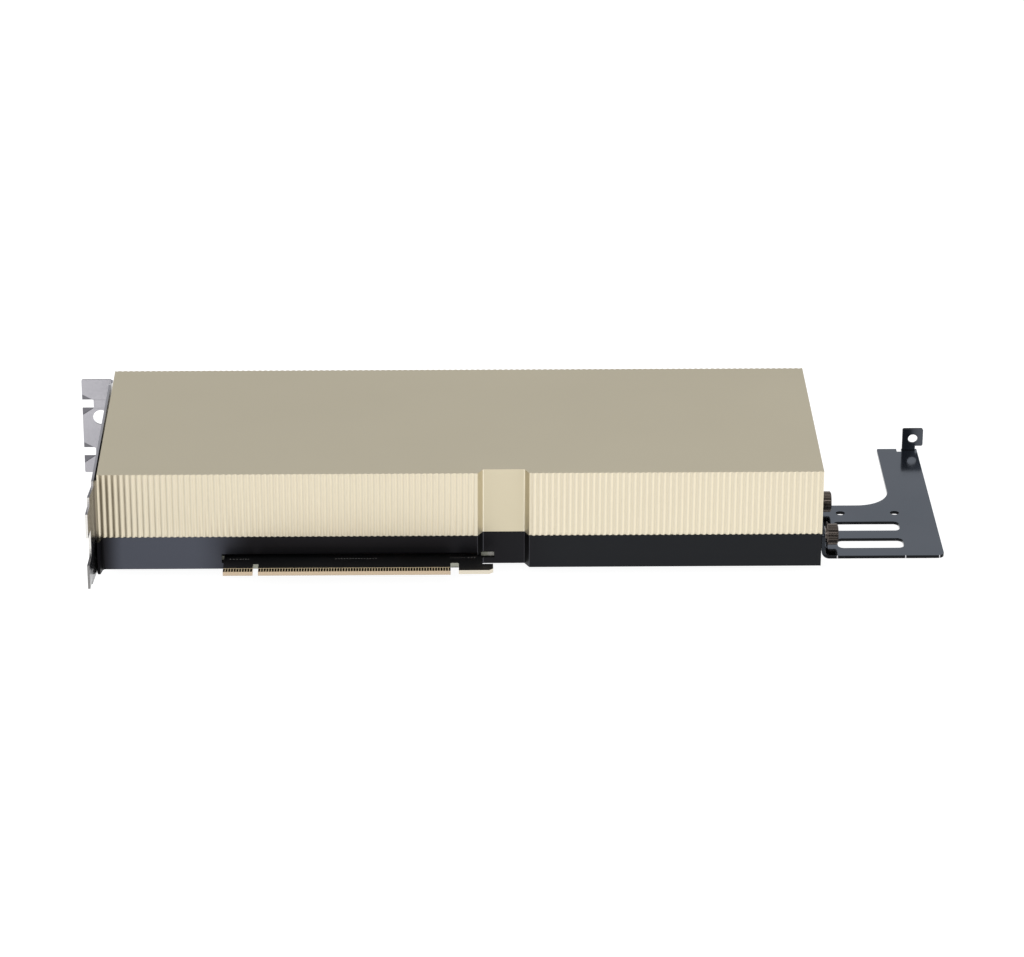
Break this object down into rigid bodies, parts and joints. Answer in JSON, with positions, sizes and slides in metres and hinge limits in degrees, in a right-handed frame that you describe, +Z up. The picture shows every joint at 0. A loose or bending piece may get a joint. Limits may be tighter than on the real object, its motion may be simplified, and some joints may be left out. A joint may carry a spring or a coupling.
{
  "type": "passive accelerator card",
  "caption": "Full-length two-slot accelerator card cooled by the chassis airflow: ribbed gold cover, black base tray, edge connector, I/O bracket and L-shaped extender bracket with thumbscrews.",
  "frame": {"origin": "centre of the underside of the base tray", "axes": "+X along the card from the I/O bracket to the extender bracket, +Y from the edge connector side to the far long side, +Z up from the tray to the cover's roof"},
  "size_m": [0.3283, 0.1201, 0.0429],
  "materials": {
    "gold_cover": "satin gold anodised",
    "black_tray": "satin black coat",
    "solder_mask": "black solder mask on laminate",
    "contact_gold": "gold plated contacts",
    "package_green": "laminate package",
    "die_grey": "bare silicon",
    "plated_steel": "nickel plated steel",
    "thermal_compound": "grey compound",
    "copper": "nickel-free copper",
    "plain_aluminium": "plain",
    "film_black": "film",
    "ferrite": "pressed ferrite",
    "chip_black": "moulded",
    "thermal_pad": "soft silicone",
    "connector_black": "moulded nylon",
    "contact_tin": "tin plated",
    "bracket_steel": "bright plated sheet",
    "screw_black": "black zinc",
    "slate_paint": "semi-gloss slate coat",
    "screw_brown": "dark oxide, knurled",
    "brass_insert": "pressed insert"
  },
  "bodies": {
    "root": {"backing_plate": "plated_steel", "base_tray": "black_tray", "board_screws": "plated_steel", "bracket_screws": "screw_black", "capacitors": "plain_aluminium", "circuit_board": "solder_mask", "cover_screws": "screw_black", "edge_contacts": "contact_gold", "extender_bracket": "slate_paint", "heatsink": "plain_aluminium", "heatsink_screws": "plated_steel", "inductors": "ferrite", "insulating_film": "film_black", "io_bracket": "bracket_steel", "logic_chips": "chip_black", "memory_stacks": "die_grey", "package_stiffener": "plated_steel", "power_connector": "connector_black", "power_pins": "contact_tin", "power_stages": "chip_black", "processor_die": "die_grey", "processor_substrate": "package_green", "shroud": "gold_cover", "thermal_interface": "thermal_compound", "thermal_pads": "thermal_pad", "threaded_inserts": "brass_insert", "thumbscrew_front": "screw_brown", "thumbscrew_rear": "screw_brown", "thumbscrew_washers": "plated_steel", "vapor_chamber": "copper"}
  },
  "joints": []
}
